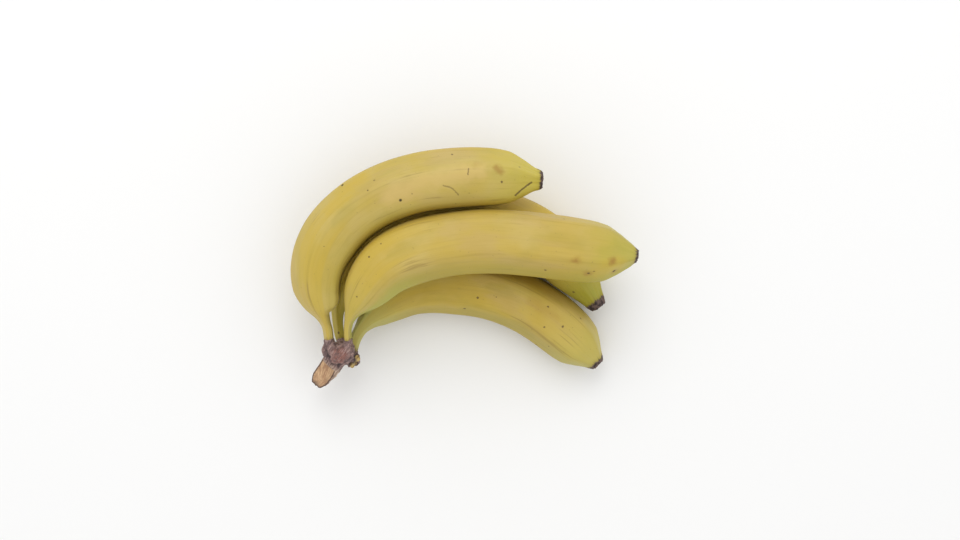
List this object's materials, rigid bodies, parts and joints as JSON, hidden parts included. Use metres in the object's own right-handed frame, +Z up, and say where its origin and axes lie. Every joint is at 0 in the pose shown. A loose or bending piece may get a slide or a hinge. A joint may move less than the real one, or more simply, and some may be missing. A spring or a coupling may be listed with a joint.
{
  "type": "bunch of bananas",
  "caption": "Curved bananas grown together at a brown crown with a slanting cut stub, nested on their sides, with dark blunt tips.",
  "frame": {"origin": "on the surface that the bunch lies on, under the middle of its bounding box", "axes": "+Z up, from the fingers on the ground to those on top; +X from the crown towards the tips; +Y away from the crown, towards the bulge of the outer fingers"},
  "size_m": [0.2073, 0.1452, 0.0713],
  "materials": {
    "crown_bark": "dull, rough, dried",
    "finger_1_peel": "waxy satin",
    "finger_2_peel": "waxy satin",
    "finger_3_peel": "waxy satin",
    "finger_4_peel": "waxy satin"
  },
  "bodies": {
    "root": {"crown": "crown_bark", "finger_1": "finger_1_peel", "finger_2": "finger_2_peel", "finger_3": "finger_3_peel", "finger_4": "finger_4_peel"}
  },
  "joints": []
}
